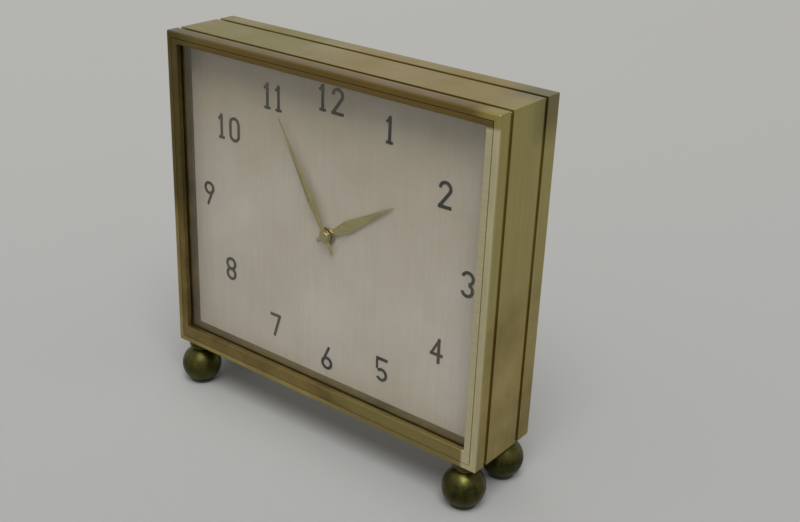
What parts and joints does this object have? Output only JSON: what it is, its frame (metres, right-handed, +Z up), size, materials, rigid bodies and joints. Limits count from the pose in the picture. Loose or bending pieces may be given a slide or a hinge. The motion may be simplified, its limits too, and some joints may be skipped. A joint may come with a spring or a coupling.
{
  "type": "desk clock",
  "caption": "Rectangular brass desk clock on four ball feet, with a glazed silvered dial, two hands and a wound lever movement inside.",
  "frame": {"origin": "middle of the overall box at table level, under the feet", "axes": "+X to the right as seen from the front, +Y from the dial to the back, +Z up"},
  "size_m": [0.1162, 0.0362, 0.114],
  "materials": {
    "case_brass": "satin, lacquered and slightly dulled",
    "foot_brass": "darkened, satin",
    "clear_glass": "polished",
    "dial_silver": "silvered, matt",
    "numeral_metal": "dark, satin",
    "hand_gilt": "gilt, polished",
    "movement_brass": "fine ground",
    "bright_steel": "polished",
    "blued_steel": "blued",
    "spring_steel": "rolled",
    "ruby": "polished, stands for synthetic ruby",
    "felt": "pressed felt"
  },
  "bodies": {
    "case": {"case_band": "case_brass", "front_bezel": "case_brass", "crystal": "clear_glass", "inner_frame": "case_brass", "dial": "dial_silver", "numerals": "numeral_metal", "dial_plate": "movement_brass", "rear_frame": "case_brass", "back_cover": "case_brass", "back_cover_screws": "bright_steel", "spacer_posts": "bright_steel", "foot_front_left": "foot_brass", "foot_front_right": "foot_brass", "foot_rear_left": "foot_brass", "foot_rear_right": "foot_brass", "foot_felts": "felt", "front_plate": "movement_brass", "back_plate": "movement_brass", "pillars": "movement_brass", "plate_screws": "blued_steel", "movement_posts": "bright_steel", "movement_screws": "blued_steel", "click_screw": "blued_steel", "click_spring": "spring_steel", "hairspring": "blued_steel", "hairspring_stud": "bright_steel", "balance_cock": "movement_brass", "cock_screws": "blued_steel", "minute_wheel_stud": "bright_steel"},
    "minute_hand_arbor": {"cannon_pinion": "bright_steel", "minute_hand": "hand_gilt", "hand_nut": "hand_gilt"},
    "hour_hand_wheel": {"hour_wheel": "movement_brass", "hour_hand": "hand_gilt"},
    "minute_wheel_arbor": {"minute_wheel": "movement_brass"},
    "setting_shaft": {"setting_arbor": "bright_steel", "setting_knob": "case_brass"},
    "barrel_drum": {"barrel": "movement_brass", "barrel_lid": "movement_brass", "mainspring": "spring_steel"},
    "winding_shaft": {"barrel_arbor": "bright_steel", "ratchet_wheel": "bright_steel", "ratchet_collar": "bright_steel", "winding_key": "case_brass"},
    "intermediate_arbor": {"intermediate_wheel": "movement_brass"},
    "centre_arbor": {"centre_wheel": "movement_brass"},
    "third_arbor": {"third_wheel": "movement_brass"},
    "fourth_arbor": {"fourth_wheel": "movement_brass"},
    "escape_arbor": {"escape_wheel": "movement_brass"},
    "lever_arbor": {"pallet_lever": "bright_steel", "pallet_stones": "ruby"},
    "balance": {"balance_wheel": "movement_brass", "balance_staff": "bright_steel"},
    "click_lever": {"click": "bright_steel"},
    "regulator_lever": {"regulator": "bright_steel"}
  },
  "joints": [
    {"name": "minute_hand_turn", "type": "hinge", "parent": "case", "child": "minute_hand_arbor", "pos_m": [0, 0, 0.06505], "axis": [0, 1, 0], "continuous": true},
    {"name": "hour_hand_turn", "type": "hinge", "parent": "case", "child": "hour_hand_wheel", "pos_m": [0, 0, 0.06505], "axis": [0, 1, 0], "continuous": true},
    {"name": "minute_wheel_turn", "type": "hinge", "parent": "case", "child": "minute_wheel_arbor", "pos_m": [-0.00156, 0, 0.07391], "axis": [0, 1, 0], "continuous": true},
    {"name": "setting_knob_turn", "type": "hinge", "parent": "case", "child": "setting_shaft", "pos_m": [0, 0, 0.08278], "axis": [0, 1, 0], "continuous": true},
    {"name": "third_wheel_turn", "type": "hinge", "parent": "case", "child": "third_arbor", "pos_m": [0.00869, 0, 0.07234], "axis": [0, 1, 0], "continuous": true},
    {"name": "centre_wheel_turn", "type": "hinge", "parent": "case", "child": "centre_arbor", "pos_m": [0, 0, 0.06505], "axis": [0, 1, 0], "continuous": true},
    {"name": "intermediate_wheel_turn", "type": "hinge", "parent": "case", "child": "intermediate_arbor", "pos_m": [-0.00258, 0, 0.05307], "axis": [0, 1, 0], "continuous": true},
    {"name": "barrel_turn", "type": "hinge", "parent": "case", "child": "barrel_drum", "pos_m": [-0.02, 0, 0.06205], "axis": [0, 1, 0], "continuous": true},
    {"name": "fourth_wheel_turn", "type": "hinge", "parent": "case", "child": "fourth_arbor", "pos_m": [0.01379, 0, 0.06351], "axis": [0, 1, 0], "continuous": true},
    {"name": "escape_wheel_turn", "type": "hinge", "parent": "case", "child": "escape_arbor", "pos_m": [0.0168, 0, 0.05524], "axis": [0, 1, 0], "continuous": true},
    {"name": "winding_turn", "type": "hinge", "parent": "case", "child": "winding_shaft", "pos_m": [-0.02, 0, 0.06205], "axis": [0, -1, 0], "range_deg": [0, 2880]},
    {"name": "click_lift", "type": "hinge", "parent": "case", "child": "click_lever", "pos_m": [-0.0146, 0, 0.06848], "axis": [0, 1, 0], "range_deg": [0, 8], "stiffness_Nm_per_rad": 0.0001},
    {"name": "lever_rock", "type": "hinge", "parent": "case", "child": "lever_arbor", "pos_m": [0.01582, 0, 0.04972], "axis": [0, 1, 0], "range_deg": [-6, 6]},
    {"name": "balance_swing", "type": "hinge", "parent": "case", "child": "balance", "pos_m": [0.01421, 0, 0.04056], "axis": [0, 1, 0], "range_deg": [-270, 270], "stiffness_Nm_per_rad": 0.000007},
    {"name": "regulator_shift", "type": "hinge", "parent": "case", "child": "regulator_lever", "pos_m": [0.01421, 0, 0.04056], "axis": [0, 1, 0], "range_deg": [-12, 12]}
  ],
  "couplings": [
    {"joint": "hour_hand_turn", "follows": "minute_hand_turn", "ratio": 0.083333},
    {"joint": "minute_wheel_turn", "follows": "minute_hand_turn", "ratio": -0.33333},
    {"joint": "setting_knob_turn", "follows": "minute_hand_turn", "ratio": 1},
    {"joint": "centre_wheel_turn", "follows": "third_wheel_turn", "ratio": -0.125},
    {"joint": "intermediate_wheel_turn", "follows": "third_wheel_turn", "ratio": 0.03125},
    {"joint": "barrel_turn", "follows": "third_wheel_turn", "ratio": -0.0052083},
    {"joint": "fourth_wheel_turn", "follows": "third_wheel_turn", "ratio": -7.5},
    {"joint": "escape_wheel_turn", "follows": "third_wheel_turn", "ratio": 75}
  ]
}
